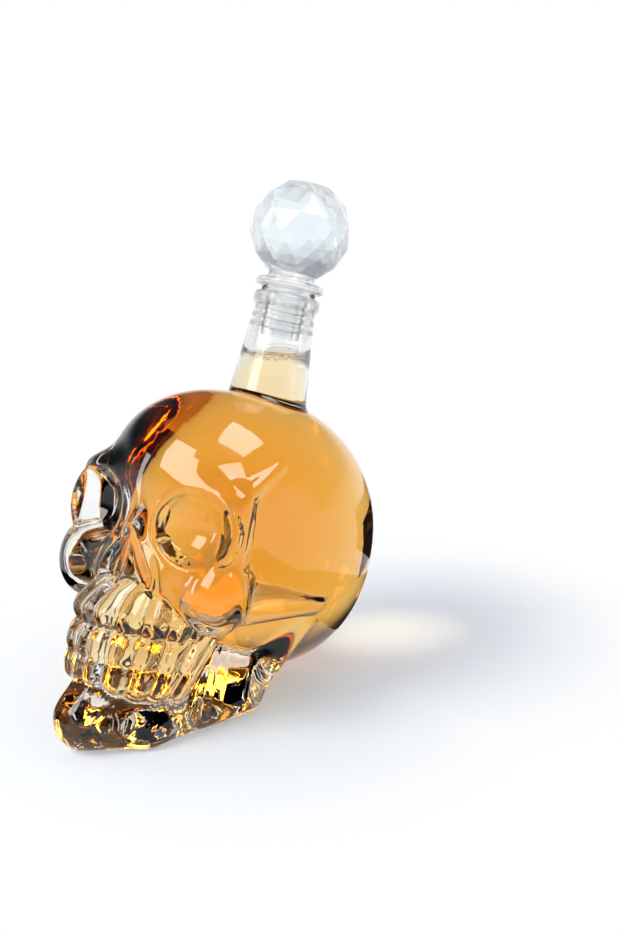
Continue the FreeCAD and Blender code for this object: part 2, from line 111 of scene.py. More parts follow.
# Neck, lip and bore: radii and heights along the neck
neck_low, neck_low_up, neck_top = 16.7, 58.5, 13
neck_root, neck_root_up, neck_root_share = 17.2, 55.6, 0.28
lip_top_up, lip_height, lip_overhang, lip_flare = 101.5, 4.8, 1.5, 1.2
lip_foot_rounding, lip_low_rounding, lip_rounding, mouth_rounding = 1.2, 1.5, 2.1, 0.8
lip_radius, lip_low_up = neck_top + lip_overhang, lip_top_up - lip_height
neck_top_up = lip_low_up - lip_flare
bore_radius, bore_low_radius, bore_straight_depth, bore_taper_length = 9.5, 12.2, 23.5, 20
bore_taper_top = lip_top_up - bore_straight_depth
bore_taper_low = bore_taper_top - bore_taper_length
dry_bore_height, throat_bulge, throat_up = 6, 0.2, 52.2

# Sleeve, its ribs and the stopper, seated on the lip one above the other
seat_gap, sleeve_depth, rib_root_depth, sleeve_wall = 0.1, 19, 1.1, 1.85
collar_overhang, collar_height = 3.2, 1.9
sleeve_radius, sleeve_bottom_up = bore_radius - rib_root_depth, lip_top_up - sleeve_depth
sleeve_hole, collar_radius = sleeve_radius - sleeve_wall, sleeve_radius + collar_overhang
collar_foot_up = lip_top_up + seat_gap
collar_top_up = collar_foot_up + collar_height
rib_start, rib_pitch, rib_count, rib_height = 3, 3.8, 4, 2.8
rib_bite, rib_slope, rib_land, rib_sunk = 0.04, 0.5, 2, 0.4
rib_reach = bore_radius + rib_bite
peg_clearance, peg_recess, peg_rounding = 0.05, 1.5, 1
peg_radius, peg_bottom_up = sleeve_hole - peg_clearance, sleeve_bottom_up + peg_recess
flange_radius, flange_height, flange_rounding = 14.7, 3.6, 1.6
foot_low_radius, foot_taper, foot_height, foot_fillet, foot_rounding = 10.9, 1, 3.3, 0.8, 0.3
flange_foot_up = collar_top_up + seat_gap
flange_top_up = flange_foot_up + flange_height
foot_top_up = flange_top_up + foot_height
ball_radius, ball_sides, ball_rows, ball_flat_angle, ball_top_angle = 21.8, 10, 6, 60, 64

# Fill, with a curved rim at its surface and a ring of bubbles below it
fill_headroom, wet_overlap, dry_line = 5, 0.12, 0.06
fill_level_up = sleeve_bottom_up - fill_headroom
rim_drop, rim_reach = 1.1, 0.9
rim_insets = (0.25, 0.6, 1.0, 1.5, 2.1, 2.8, 3.8, 5.2, 7, 8.6)
bubble_count, bubble_ring, bubble_scatter, bubble_depth, bubble_sunk = 110, 8.2, 0.4, 1.3, 0.45
bubble_smallest, bubble_largest = 0.3, 0.55
glass_ior, liquor_ior = 1.5, 1.34
metre = 1000


# Skull formula
def lobe_gap(points, lobe):
    middle, halves = np.array(lobe[0]), np.array(lobe[1])
    scaled = (points - middle) / halves
    reach = np.linalg.norm(scaled, axis=-1)
    slope = np.linalg.norm(scaled / halves, axis=-1)
    return reach * (reach - 1) / np.maximum(slope, 1e-9)


def limb_gap(points, limb):
    start, run = np.array(limb[0]), np.subtract(limb[1], limb[0])
    along = np.clip((points - start) @ run / (run @ run), 0, 1)
    off_line = points - start - along[..., None] * run
    return np.linalg.norm(off_line, axis=-1) - limb[2] - along * (limb[3] - limb[2])


def bead_gap(points, bead):
    off = points - np.array(bead[0])
    wide, high = bead[1]
    round_share = np.hypot(off[..., 0] / wide, off[..., 2] / high)
    off_ring = (round_share - 1) * (wide + high) / 2
    return np.hypot(off_ring, off[..., 1] - bead[2] * off[..., 0]) - bead[3]


def joined(one, other, blend):
    share = np.maximum(blend - np.abs(one - other), 0) / blend
    return np.minimum(one, other) - share * share * blend / 4


bone_tables = ((lobe_gap, lobes), (limb_gap, limbs), (bead_gap, beads))


def bone_gap(points, order):
    gap = None
    for entry in order:
        sign, title = entry[0], entry[1:]
        measure, table = next(pair for pair in bone_tables if title in pair[1])
        here, blend = measure(points, table[title]), table[title][-1]
        if title in trims:
            way, place = trims[title]
            here = -joined(-here, -((points - np.array(place)) @ np.array(way)), trim_blend)
        if gap is None:
            gap = here
        elif sign == "+":
            gap = joined(gap, here, blend)
        else:
            gap = -joined(-gap, here, blend)
    return gap


def arch_end(turn, end):
    up, wide, deep, back, thick = end
    return (wide * math.sin(turn), back - deep * math.cos(turn), up), thick


def tooth_limbs():
    teeth = []
    for low_end, high_end in tooth_rows:
        for number in range(teeth_per_side):
            turn = (number + 0.5) * tooth_pitch
            start, thick = arch_end(turn, low_end)
            end, to_thick = arch_end(turn, high_end)
            teeth.append((start, end, thick, to_thick))
    return teeth


teeth = tooth_limbs()


def outside_gap(points):
    gap = bone_gap(points, bone_order)
    back, up = points[..., 1], points[..., 2]
    near = (up > teeth_low_up) & (up < teeth_top_up) & (back < teeth_back)
    close, gap_near = points[near], gap[near]
    for tooth in teeth:
        gap_near = joined(gap_near, limb_gap(close, tooth), tooth_blend)
    gap[near] = gap_near
    return gap


def chamber_gap(points):
    return wall - joined(-bone_gap(points, hollow_bones), -bone_gap(points, bone_order), chamber_blend)


# Nets of points cast from the cranium's middle, one half computed and mirrored
def zoned(start, zones):
    angles = [start]
    for end, count in zones:
        angles += list(np.linspace(angles[-1], end, count + 1)[1:])
    return np.radians(angles)


half_turns = zoned(0, columns_half)
turns = np.concatenate((half_turns, -half_turns[-2:0:-1]))


def ray_net(polars, turns):
    polar, turn = np.meshgrid(polars, turns, indexing="ij")
    return np.stack((np.sin(polar) * np.sin(turn), -np.sin(polar) * np.cos(turn), np.cos(polar)), axis=-1)


def cast(gap, rays, start=135.0, step_share=0.85, longest=6, steps=64):
    reach = np.full(rays.shape[:-1], start)
    for step in range(steps):
        reach -= np.minimum(gap(rays * reach[..., None]) * step_share, longest)
    return reach


# Moulded glass has draft: no wall is steeper than this, seen from the middle
def drafted(rays, reach, draft):
    reach = reach.copy()
    for axis in (0, 1):
        lines, spans = np.moveaxis(reach, axis, 0), np.moveaxis(rays, axis, 0)
        spread = np.linalg.norm(spans[1:] - spans[:-1], axis=-1)
        for place in range(1, len(lines)):
            lines[place] = np.maximum(lines[place], lines[place - 1] * (1 - draft * spread[place - 1]))
        for place in range(len(lines) - 2, -1, -1):
            lines[place] = np.maximum(lines[place], lines[place + 1] * (1 - draft * spread[place]))
    return reach


def softened(reach, passes):
    for step in range(passes):
        around = np.concatenate((reach[:, 1:2], reach, reach[:, -2:-1]), axis=1)
        sideways = (around[:, :-2] + around[:, 2:]) / 2
        upright = reach.copy()
        upright[1:-1] = (reach[:-2] + reach[2:]) / 2
        reach = reach * 0.5 + sideways * 0.25 + upright * 0.25
    return reach


def both_sides(points):
    mirrored = points[:, -2:0:-1] * np.array((-1, 1, 1))
    return np.concatenate((points, mirrored), axis=1)


def to_world(points):
    side, back, up = np.moveaxis(np.asarray(points, float), -1, 0)
    turned = np.stack((side, back * math.cos(lean) + up * math.sin(lean),
                       up * math.cos(lean) - back * math.sin(lean)), axis=-1)
    return (turned + cranium_middle) / metre


def ring(radius, up):
    radius, up = np.broadcast_to(radius, turns.shape), np.broadcast_to(up, turns.shape)
    return np.stack((radius * np.sin(turns), -radius * np.cos(turns), up), axis=-1)


def turned_rings(profile):
    return [ring(radius, up) for radius, up in profile]


# Profiles: corners of (radius, up, rounding), rounded by true arcs
def rounded(corners, steps=7):
    points = []
    for number, (radius, up, rounding) in enumerate(corners):
        here = np.array((radius, up), float)
        if not rounding:
            points.append(here)
            continue
        before = np.subtract(corners[number - 1][:2], here)
        after = np.subtract(corners[(number + 1) % len(corners)][:2], here)
        before, after = before / np.linalg.norm(before), after / np.linalg.norm(after)
        half = math.acos(np.clip(before @ after, -1, 1)) / 2
        start, end = here + before * rounding / math.tan(half), here + after * rounding / math.tan(half)
        between = before + after
        centre = here + between / np.linalg.norm(between) * rounding / math.sin(half)
        for share in np.linspace(0, 1, steps):
            chord = start + (end - start) * share - centre
            points.append(centre + chord / np.linalg.norm(chord) * rounding)
    return [tuple(point) for point in points]


def spaced(profile, step):
    points = [profile[0]]
    for start, end in zip(profile, profile[1:]):
        count = max(1, round(math.dist(start, end) / step))
        points += [tuple(np.add(start, np.subtract(end, start) * n / count)) for n in range(1, count + 1)]
    return points


def fillet_rings(first, corner, last, count):
    shares = np.linspace(0, 1, count + 2)[1:-1]
    return [first * (1 - s) ** 2 + corner * 2 * s * (1 - s) + last * s * s for s in shares]


def placed(name, content):
    piece = bpy.data.objects.new(name, content)
    bpy.context.scene.collection.objects.link(piece)
    return piece


# Meshes from stacked rings, closed by a pole at each end
def ring_mesh(name, rings, first_pole, last_pole):
    rows, columns = len(rings), len(rings[0])
    points = to_world(np.concatenate((np.concatenate(rings), [first_pole, last_pole])))
    start = np.arange(rows - 1)[:, None] * columns + np.arange(columns)
    after = np.arange(rows - 1)[:, None] * columns + (np.arange(columns) + 1) % columns
    quads = np.stack((start, after, after + columns, start + columns), axis=-1).reshape(-1, 4)
    here, ahead = np.arange(columns), (np.arange(columns) + 1) % columns
    low, last = rows * columns, (rows - 1) * columns
    caps = np.concatenate((np.stack((ahead, here, np.full(columns, low)), axis=-1),
                           np.stack((last + here, last + ahead, np.full(columns, low + 1)), axis=-1)))
    return plain_mesh(name, points, [quads, caps])


def signed_volume(points, quads):
    a, b, c, d = (points[quads[:, place]] for place in range(4))
    return (np.einsum("ij,ij->", a, np.cross(b, c)) + np.einsum("ij,ij->", a, np.cross(c, d))) / 6


def plain_mesh(name, points, groups):
    if signed_volume(points, groups[0]) < 0:
        groups = [group[:, ::-1] for group in groups]
    mesh = bpy.data.meshes.new(name)
    corners = np.concatenate([group.reshape(-1) for group in groups])
    counts = np.concatenate([np.full(len(group), group.shape[1]) for group in groups])
    starts = np.concatenate(([0], np.cumsum(counts)[:-1]))
    mesh.vertices.add(len(points))
    mesh.vertices.foreach_set("co", points.reshape(-1))
    mesh.loops.add(len(corners))
    mesh.loops.foreach_set("vertex_index", corners.astype(np.int32))
    mesh.polygons.add(len(counts))
    mesh.polygons.foreach_set("loop_start", starts.astype(np.int32))
    mesh.update(calc_edges=True)
    mesh.validate()
    mesh.polygons.foreach_set("use_smooth", np.ones(len(counts), bool))
    return placed(name, mesh)


def mark(piece, name, values):
    attribute = piece.data.attributes.new(name, "FLOAT", "POINT")
    attribute.data.foreach_set("value", np.asarray(values, np.float32))


# Skull and chamber surfaces
def skull_surface():
    rays = ray_net(zoned(face_first, face_rows), half_turns)
    reach = softened(drafted(rays, cast(outside_gap, rays), face_draft), face_soften) - inside_cad
    fall = rays[..., 1] * math.sin(lean) - rays[..., 2] * math.cos(lean)
    level, far_below = 0.02, 1000
    to_base = np.where(fall > level, cranium_middle[2] / np.maximum(fall, level), far_below)
    return both_sides(rays * joined(reach, to_base, base_blend)[..., None])


def chamber_surface():
    rays = ray_net(zoned(chamber_first, chamber_rows), half_turns)
    return rays, softened(drafted(rays, cast(chamber_gap, rays), chamber_draft), chamber_soften)


outside = skull_surface()
chamber_rays, chamber_reach = chamber_surface()


def bore_wall(up):
    share = np.clip((up - bore_taper_low) / (bore_taper_top - bore_taper_low), 0, 1)
    return bore_low_radius + (bore_radius - bore_low_radius) * share


# Heights along the neck at which a ring of this radius lies level
def level_up(radius):
    return fill_level_up - radius * np.cos(turns) * math.tan(lean)


def waterline(margin, passes=6):
    up = np.full(turns.shape, fill_level_up)
    for step in range(passes):
        up = level_up(bore_wall(up) + margin)
    return up


def wet_bore_rings(margin, shares=(0.6, 0, -0.15)):
    heights = [waterline(margin)] + [bore_taper_low + bore_taper_length * share for share in shares]
    return [ring(bore_wall(np.asarray(up)) + margin, up) for up in heights]


def throat(margin):
    return ring(bore_low_radius + throat_bulge + margin, throat_up)


# Glass bottle: outside from the base to the lip, then down the bore and round the chamber
def build_bottle():
    rings = list(outside[:-1][::-1])
    root_up = rings[-1][:, 2] * (1 - neck_root_share) + neck_root_up * neck_root_share
    neck_profile = rounded([
        (neck_low, neck_low_up, 0), (neck_top, neck_top_up, lip_foot_rounding),
        (lip_radius, lip_low_up, lip_low_rounding), (lip_radius, lip_top_up, lip_rounding),
        (bore_radius, lip_top_up, mouth_rounding),
        (bore_radius, bore_taper_top + dry_bore_height, 0)], steps=5)
    rings += fillet_rings(rings[-1], ring(neck_root, root_up), ring(neck_low, neck_low_up), count=7)
    rings += turned_rings(neck_profile)
    wet_rings = wet_bore_rings(0)
    dry_rings = len(rings) + 1
    rings += [wet_rings[0] + np.array((0, 0, dry_line))] + wet_rings
    chamber = both_sides(chamber_rays * chamber_reach[..., None])
    rings += fillet_rings(rings[-1], throat(0), chamber[0], count=6) + list(chamber[:-1])
    bottle = ring_mesh("glass_bottle", rings, outside[-1, 0], chamber[-1, 0])
    wet = [np.full(len(turns), float(row >= dry_rings)) for row in range(len(rings))]
    mark(bottle, "wet", np.concatenate(wet + [[0], [1]]))
    pale = [np.clip((row[:, 2] - fill_level_up) / (lip_low_up - fill_level_up), 0, 1) for row in rings]
    mark(bottle, "pale", np.concatenate(pale + [[0], [0]]))
    return bottle


# Liquor: the chamber and the bore a little into the glass, with a curved rim at its surface
def build_liquor():
    chamber = both_sides(chamber_rays * (chamber_reach + wet_overlap)[..., None])
    rings = list(chamber[:-1][::-1])
    bore = wet_bore_rings(wet_overlap)[::-1]
    rings += fillet_rings(rings[-1], throat(wet_overlap), bore[0], count=6) + bore
    side_rings = len(rings)
    radius = bore_wall(waterline(wet_overlap)) + wet_overlap
    for inset in rim_insets:
        drop = rim_drop * (1 - math.exp(-inset / rim_reach))
        rings.append(ring(radius - inset, level_up(radius - inset) - drop))
    liquor = ring_mesh("liquor_fill", rings, chamber[-1, 0], (0, 0, fill_level_up - rim_drop))
    top = [np.full(len(turns), float(row >= side_rings)) for row in range(len(rings))]
    mark(liquor, "top", np.concatenate(top + [[0], [1]]))
    return liquor


# Sleeve, stem and ball
def loop_mesh(name, rings):
    rows, columns = len(rings), len(rings[0])
    points = to_world(np.concatenate(rings))
    row, column = np.meshgrid(np.arange(rows), np.arange(columns), indexing="ij")
    after, above = (column + 1) % columns, (row + 1) % rows
    quads = np.stack((row * columns + column, row * columns + after, above * columns + after,
                      above * columns + column), axis=-1).reshape(-1, 4)
    return plain_mesh(name, points, [quads])


def build_sleeve_tube():
    edge, foot_edge, corner, collar_edge = 0.3, 0.5, 0.2, 0.6
    tube = rounded([
        (sleeve_hole, sleeve_bottom_up, edge), (sleeve_radius, sleeve_bottom_up, foot_edge),
        (sleeve_radius, collar_foot_up, corner), (collar_radius, collar_foot_up, collar_edge),
        (collar_radius, collar_top_up, collar_edge), (sleeve_hole, collar_top_up, edge)], steps=5)
    return loop_mesh("sleeve_tube", turned_rings(tube))


def build_first_rib():
    edge, low, inner = 0.1, sleeve_bottom_up + rib_start, sleeve_radius - rib_sunk
    rib = rounded([
        (inner, low, 0), (sleeve_radius, low, edge), (rib_reach, low + rib_slope, edge),
        (rib_reach, low + rib_slope + rib_land, edge), (sleeve_radius, low + rib_height, edge),
        (inner, low + rib_height, 0)], steps=4)
    first_rib = loop_mesh("ribbed_sleeve", turned_rings(rib))
    mark(first_rib, "rib", np.ones(len(first_rib.data.vertices)))
    return first_rib


def build_stem():
    pole_ring, corner, spacing = 0.4, 0.2, 2
    profile = rounded([
        (pole_ring, peg_bottom_up, 0), (peg_radius, peg_bottom_up, peg_rounding),
        (peg_radius, flange_foot_up, corner), (flange_radius, flange_foot_up, flange_rounding),
        (flange_radius, flange_top_up, flange_rounding), (foot_low_radius, flange_top_up, foot_fillet),
        (foot_low_radius - foot_taper, foot_top_up, foot_rounding), (pole_ring, foot_top_up, 0)])
    rings = turned_rings(spaced(profile, spacing))
    return ring_mesh("stopper_foot", rings, (0, 0, peg_bottom_up), (0, 0, foot_top_up))


def build_ball():
    middle = foot_top_up + ball_radius * math.sin(math.radians(ball_flat_angle))
    points = []
    for row, angle in enumerate(np.linspace(-ball_flat_angle, ball_top_angle, ball_rows)):
        rise = math.radians(angle)
        across, up = ball_radius * math.cos(rise), middle + ball_radius * math.sin(rise)
        for side in range(ball_sides):
            turn = math.tau * (side + row % 2 / 2) / ball_sides
            points.append((across * math.cos(turn), across * math.sin(turn), up))
    flat = list(range(ball_sides))
    faces = [flat[::-1], [(ball_rows - 1) * ball_sides + side for side in flat]]
    for row in range(ball_rows - 1):
        shift, low, high = row % 2, row * ball_sides, (row + 1) * ball_sides
        for side in flat:
            after = (side + 1) % ball_sides
            faces.append([low + side, low + after, high + (side + shift) % ball_sides])
            faces.append([high + after, high + side, low + (side + 1 - shift) % ball_sides])
    mesh = bpy.data.meshes.new("cut_ball")
    mesh.from_pydata(to_world(points).tolist(), [], faces)
    mesh.validate()
    return placed("cut_ball", mesh)


# Wiring of shader and geometry nodes
class Wire:
    def __init__(self, tree, socket):
        self.tree, self.socket = tree, socket

    def math(self, operation, first, second):
        node = self.tree.nodes.new("ShaderNodeMath")
        node.operation = operation
        for place, value in enumerate((first, second)):
            if isinstance(value, Wire):
                self.tree.links.new(value.socket, node.inputs[place])
            else:
                node.inputs[place].default_value = value
        return Wire(self.tree, node.outputs[0])

    def __add__(self, other):
        return self.math("ADD", self, other)

    def __radd__(self, other):
        return self.math("ADD", other, self)

    def __mul__(self, other):
        return self.math("MULTIPLY", self, other)

    def __rmul__(self, other):
        return self.math("MULTIPLY", other, self)

    def __gt__(self, other):
        return self.math("GREATER_THAN", self, other)

    def __or__(self, other):
        return self.math("MAXIMUM", self, other)

    def __ror__(self, other):
        return self.math("MAXIMUM", other, self)


class Bench:
    def __init__(self, tree):
        self.tree = tree
        tree.nodes.clear()

    def node(self, kind, sockets=None, settings=None, output=0):
        node = self.tree.nodes.new(kind)
        for name, value in (settings or {}).items():
            setattr(node, name, value)
        for name, value in (sockets or {}).items():
            for entry in value if isinstance(value, list) else [value]:
                if isinstance(entry, Wire):
                    self.tree.links.new(entry.socket, node.inputs[name])
                else:
                    node.inputs[name].default_value = entry
        return None if output is None else Wire(self.tree, node.outputs[output])


class Rule(Bench):
    """A geometry tree with named inputs, each title with its kind of socket."""

    def __init__(self, name, inputs):
        super().__init__(bpy.data.node_groups.new(name, "GeometryNodeTree"))
        sides = self.tree.interface
        sides.new_socket("Geometry", in_out="INPUT", socket_type="NodeSocketGeometry")
        for title, kind in inputs.items():
            sides.new_socket(title, in_out="INPUT", socket_type="NodeSocket" + kind)
        sides.new_socket("Geometry", in_out="OUTPUT", socket_type="NodeSocketGeometry")

    def given(self, title):
        return self.node("NodeGroupInput", output=title)

    def finish(self, shapes):
        joined_up = self.node("GeometryNodeJoinGeometry", {"Geometry": shapes[::-1]})
        realized = self.node("GeometryNodeRealizeInstances", {"Geometry": joined_up})
        finish = self.given("Finish")
        coated = self.node("GeometryNodeSetMaterial", {"Geometry": realized, "Material": finish})
        self.node("NodeGroupOutput", {"Geometry": coated}, output=None)

    def shape(self, piece, values):
        step = piece.modifiers.new(self.tree.name, "NODES")
        step.node_group = self.tree
        for entry in self.tree.interface.items_tree:
            if entry.in_out == "INPUT" and entry.name in values:
                step[entry.identifier] = values[entry.name]
        graph = bpy.context.evaluated_depsgraph_get()
        shaped = piece.evaluated_get(graph)
        mesh = bpy.data.meshes.new_from_object(shaped, preserve_all_data_layers=True, depsgraph=graph)
        piece.modifiers.clear()
        piece.data = mesh


class Paint(Bench):
    def __init__(self, owner):
        owner.use_nodes = True
        self.owner = owner
        super().__init__(owner.node_tree)

    def coords(self):
        return self.node("ShaderNodeTexCoord", output="Object")

    def noise(self, scale, detail=3.0, roughness=0.5):
        return self.node("ShaderNodeTexNoise", {"Vector": self.coords(), "Scale": scale, "Detail": detail,
                                                "Roughness": roughness}, output="Fac")

    def mix(self, factor, low, high):
        return self.node("ShaderNodeMix", {0: factor, 6: low, 7: high}, {"data_type": "RGBA"}, output=2)

    def marked(self, name):
        return self.node("ShaderNodeAttribute", settings={"attribute_name": name}, output="Fac")

    def ray(self, kind):
        return self.node("ShaderNodeLightPath", output=f"Is {kind} Ray")

    def surface(self, shader, **more):
        self.node("ShaderNodeOutputMaterial", {"Surface": shader, **more}, output=None)
        return self.owner


# Ribs repeat along the neck, round the sleeve's tube
def add_ribs(first_rib, tube, finish):
    rule = Rule("sleeve_ribs", {"Tube": "Object", "Count": "Int", "Pitch": "Float", "Lean": "Float",
                                "Finish": "Material"})
    pitch, tilt = rule.given("Pitch"), rule.given("Lean")
    step = rule.node("ShaderNodeCombineXYZ", {"Y": pitch * tilt.math("SINE", tilt, 0.0),
                                              "Z": pitch * tilt.math("COSINE", tilt, 0.0)})
    line = rule.node("GeometryNodeMeshLine", {"Count": rule.given("Count"), "Offset": step},
                     {"mode": "OFFSET"})
    ribs = rule.node("GeometryNodeInstanceOnPoints", {"Points": line, "Instance": rule.given("Geometry")})
    tube_shape = rule.node("GeometryNodeObjectInfo", {"Object": rule.given("Tube")}, output="Geometry")
    rule.finish([tube_shape, ribs])
    rule.shape(first_rib, {"Tube": tube, "Count": rib_count, "Pitch": rib_pitch / metre, "Lean": lean,
                           "Finish": finish})
    bpy.data.objects.remove(tube)
    return first_rib


# Small bubbles stand in a ring just under the liquor's surface
def add_bubbles(liquor, finish):
    rule = Rule("surface_bubbles", {
        "Count": "Int", "Ring radius": "Float", "Scatter": "Float", "Depth": "Float", "Smallest": "Float",
        "Largest": "Float", "Middle": "Vector", "Stretch": "Float", "Finish": "Material"})
    scatter, depth = rule.given("Scatter"), rule.given("Depth")
    ring_points = rule.node("GeometryNodeMeshCircle", {"Vertices": rule.given("Count"),
                                                       "Radius": rule.given("Ring radius")})
    low = rule.node("ShaderNodeCombineXYZ", {"X": scatter * -1.0, "Y": scatter * -1.0, "Z": depth * -1.0})
    high = rule.node("ShaderNodeCombineXYZ", {"X": scatter, "Y": scatter, "Z": 0.0})
    shift = rule.node("FunctionNodeRandomValue", {0: low, 1: high, "Seed": 3}, {"data_type": "FLOAT_VECTOR"})
    loose = rule.node("GeometryNodeSetPosition", {"Geometry": ring_points, "Offset": shift})
    level = rule.node("ShaderNodeCombineXYZ", {"X": 1.0, "Y": rule.given("Stretch"), "Z": 1.0})
    in_neck = rule.node("GeometryNodeTransform", {"Geometry": loose, "Translation": rule.given("Middle"),
                                                  "Scale": level})
    size = rule.node("FunctionNodeRandomValue", {2: rule.given("Smallest"), 3: rule.given("Largest"),
                                                 "Seed": 5}, output=1)
    ball = rule.node("GeometryNodeMeshIcoSphere", {"Radius": 1.0, "Subdivisions": 2})
    hollow = rule.node("GeometryNodeFlipFaces", {"Mesh": ball})
    smooth = rule.node("GeometryNodeSetShadeSmooth", {"Geometry": hollow})
    bubbles = rule.node("GeometryNodeInstanceOnPoints", {"Points": in_neck, "Instance": smooth,
                                                         "Scale": size})
    solid = rule.node("GeometryNodeRealizeInstances", {"Geometry": bubbles})
    airy = rule.node("GeometryNodeStoreNamedAttribute", {"Geometry": solid, "Name": "top", "Value": 1.0},
                     {"data_type": "FLOAT", "domain": "POINT"})
    rule.finish([rule.given("Geometry"), airy])
    middle = to_world((0, 0, fill_level_up - rim_drop)) - np.array((0, 0, bubble_sunk / metre))
    rule.shape(liquor, {
        "Count": bubble_count, "Ring radius": bubble_ring / metre, "Scatter": bubble_scatter / metre,
        "Depth": bubble_depth / metre, "Smallest": bubble_smallest / metre, "Largest": bubble_largest / metre,
        "Middle": tuple(middle), "Stretch": 1 / math.cos(lean), "Finish": finish})
    return liquor


# Finishes
white = (1, 1, 1, 1)


def bottle_glass():
    paint = Paint(bpy.data.materials.new("bottle_glass"))
    smear_limit, smear_roughness, palest = 0.66, 0.02, 0.45
    waves = paint.noise(28, 1.0)
    smears = paint.noise(140, 4.0, 0.6)
    ripple = paint.noise(110, 2.0)
    bump = paint.node("ShaderNodeBump", {"Strength": 0.2, "Distance": 0.0006,
                                         "Height": waves * 2 + ripple * 0.6})
    glass = paint.node("ShaderNodeBsdfPrincipled", {
        "Base Color": paint.mix(waves, (0.97, 0.985, 0.98, 1), (0.995, 1, 0.995, 1)),
        "Roughness": (smears > smear_limit) * smear_roughness, "IOR": glass_ior, "Transmission Weight": 1.0,
        "Normal": bump})
    clear = paint.node("ShaderNodeBsdfTransparent")
    see_through = paint.marked("wet") | paint.marked("pale") * palest
    return paint.surface(paint.node("ShaderNodeMixShader", {0: see_through, 1: glass, 2: clear}))


def amber_liquor():
    paint = Paint(bpy.data.materials.new("amber_liquor"))
    against_glass, against_air = (
        paint.node("ShaderNodeBsdfGlass", {"Color": white, "Roughness": 0.0, "IOR": ior})
        for ior in (liquor_ior / glass_ior, liquor_ior))
    mixed = paint.node("ShaderNodeMixShader", {0: paint.marked("top"), 1: against_glass, 2: against_air})
    volume = paint.node("ShaderNodeVolumeAbsorption", {"Color": (0.968, 0.695, 0.0, 1), "Density": 33.0})
    return paint.surface(mixed, Volume=volume)


def clear_glass(name, low, high, ior, clearness):
    paint = Paint(bpy.data.materials.new(name))
    cloud = paint.noise(90, 3.0)
    glass = paint.node("ShaderNodeBsdfPrincipled", {
        "Base Color": paint.mix(cloud, low, high), "Roughness": cloud * 0.015, "IOR": ior,
        "Transmission Weight": 1.0})
    clear = paint.node("ShaderNodeBsdfTransparent", {"Color": (0.97, 0.985, 1, 1)})
    return paint.surface(paint.node("ShaderNodeMixShader", {0: cloud * 0.1 + clearness, 1: glass, 2: clear}))


def sleeve_plastic():
    paint = Paint(bpy.data.materials.new("sleeve_plastic"))
    cloud = paint.noise(160, 4.0)
    grain = paint.noise(900, 2.0)
    bump = paint.node("ShaderNodeBump", {"Strength": 0.2, "Distance": 0.0002, "Height": grain})
    milky = paint.node("ShaderNodeBsdfRefraction", {
        "Color": (0.985, 0.985, 0.98, 1), "Roughness": 0.5, "IOR": 1.06, "Normal": bump})
    clear = paint.node("ShaderNodeBsdfTransparent", {"Color": (0.97, 0.975, 0.98, 1)})
    milkiness = cloud * 0.3 + paint.marked("rib") * 0.2 + 0.2
    body = paint.node("ShaderNodeMixShader", {0: milkiness, 1: clear, 2: milky})
    gloss = paint.node("ShaderNodeBsdfGlossy", {"Color": white, "Roughness": 0.12, "Normal": bump})
    edge = paint.node("ShaderNodeFresnel", {"IOR": 1.2})
    return paint.surface(paint.node("ShaderNodeMixShader", {0: edge, 1: body, 2: gloss}))


# Stage, in metres, set out as the camera sees it: to the right, to the back, up
view_turn = math.radians(44)
floor_reach, floor_drop = 12, 0.0003

# Soft pools on the floor: right, back, half sizes, even share of the reach, value inside and outside
# Inside the under and shade pools the matt floor shows its rendered shading and shadow, a little greyer than
# the plain white around it
under_pool = (0, 0, 0.15, 0.15, 0.42, 0.25, 1.0)
shade_pool = (0.085, 0.065, 0.14, 0.15, 0.3, 0.2, 1.0)
# Painted caustic: a pool of cream light painted on the floor where light through the liquor would fall, not
# traced
painted_caustic_pool = (0.083, 0.064, 0.066, 0.05, 0.0, 0.85, 0.0)

# Dark cards at the left, the right and behind: outline and height
card_foot = -0.01
cards = {
    "left_card": (((-0.06, 0.21), (-0.09, 0.1), (-0.11, -0.02), (-0.19, -0.14)), 0.034),
    "right_card": (((0.061, 0.068), (0.066, 0.05), (0.075, 0), (0.09, -0.08), (0.05, -0.2)), 0.045),
    "rear_card": (((0.112, 0.149), (0.22, 0.08)), 0.07),
}

# The ceiling that the glass sees darkens between these rises of a ray's direction
ceiling_start, ceiling_full = 0.02, 0.28

# Lamps: place, width and height, power, colour, and whether matt surfaces see the lamp
lamp_target, warm_white, soft_white = (0, 0, 0.1), (1, 0.95, 0.88), (1, 0.98, 0.95)
lamps = {
    "key_box": ((-0.65, -0.38, 0.66), (0.45, 0.55), 6.5, warm_white, True),
    "top_box": ((0.38, -0.17, 1.03), (0.75, 0.6), 11, soft_white, False),
    "side_strip": ((-0.95, 0.03, 0.3), (0.1, 0.42), 0.9, soft_white, False),
}

# Camera: place in the frame, dip and turn in degrees, focal length and picture height in pixels
camera_place, camera_dip, camera_turn = (0.414004, -0.421854, 0.263895), 15.469, 40.268
focal_pixels, picture_pixels, sensor = 1475.6, 931, 36


def place_from_view(right, back, up):
    """A point right of, behind and above the object as the camera sees it, in metres."""
    return (right * math.cos(view_turn) - back * math.sin(view_turn),
            right * math.sin(view_turn) + back * math.cos(view_turn), up)


